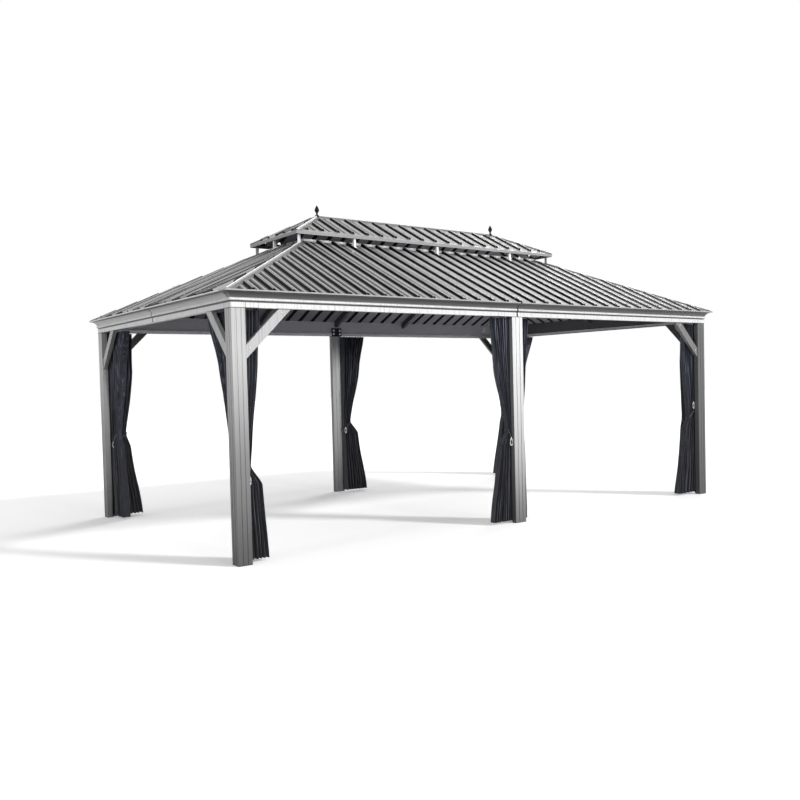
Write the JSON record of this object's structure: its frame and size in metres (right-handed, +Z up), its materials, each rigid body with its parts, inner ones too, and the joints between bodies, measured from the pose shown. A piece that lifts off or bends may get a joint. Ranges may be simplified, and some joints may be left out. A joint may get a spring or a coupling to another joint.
{
  "type": "rectangular hardtop gazebo with two-tier hip roof",
  "caption": "Open rectangular metal gazebo: posts, moulded beams with knee braces, ribbed hip roof with a raised vent roof and tied curtains",
  "frame": {"origin": "on the ground, at the middle of the rectangular plan", "axes": "X runs along the long sides, Y across with the front long side facing -Y, Z up"},
  "size_m": [6.03, 3.66, 3.2588],
  "materials": {
    "frame_paint": "silver grey powder coat, satin",
    "roof_sheet": "grey coated ribbed steel sheet",
    "roof_cap": "grey coated folded steel, satin",
    "curtain_cloth": "dark woven polyester, matte",
    "finial_paint": "black, satin",
    "rail_aluminium": "mill aluminium track"
  },
  "bodies": {
    "root": {"beam_back_left": "frame_paint", "beam_back_right": "frame_paint", "beam_front_left": "frame_paint", "beam_front_right": "frame_paint", "beam_joint_back": "frame_paint", "beam_joint_front": "frame_paint", "beam_left_back": "frame_paint", "beam_left_front": "frame_paint", "beam_right_back": "frame_paint", "beam_right_front": "frame_paint", "curtain_back_middle": "curtain_cloth", "curtain_rails": "rail_aluminium", "curtains_back_left": "curtain_cloth", "curtains_back_right": "curtain_cloth", "curtains_front_left": "curtain_cloth", "curtains_front_middle": "curtain_cloth", "curtains_front_right": "curtain_cloth", "finial_left": "finial_paint", "finial_right": "finial_paint", "hip_rafters": "frame_paint", "knee_braces_back_left": "frame_paint", "knee_braces_back_right": "frame_paint", "knee_braces_front_left": "frame_paint", "knee_braces_front_right": "frame_paint", "lower_hip_caps": "roof_cap", "lower_roof_back": "roof_sheet", "lower_roof_front": "roof_sheet", "lower_roof_left": "roof_sheet", "lower_roof_right": "roof_sheet", "post_back_left": "frame_paint", "post_back_middle": "frame_paint", "post_back_right": "frame_paint", "post_front_left": "frame_paint", "post_front_middle": "frame_paint", "post_front_right": "frame_paint", "rafter_left": "frame_paint", "rafter_right": "frame_paint", "rafters_back": "frame_paint", "rafters_front": "frame_paint", "ridge_cap": "roof_cap", "upper_hip_caps": "roof_cap", "upper_roof_back": "roof_sheet", "upper_roof_brackets": "frame_paint", "upper_roof_front": "roof_sheet", "upper_roof_left": "roof_sheet", "upper_roof_right": "roof_sheet", "vent_curb_back": "frame_paint", "vent_curb_front": "frame_paint", "vent_curb_left": "frame_paint", "vent_curb_right": "frame_paint"}
  },
  "joints": []
}
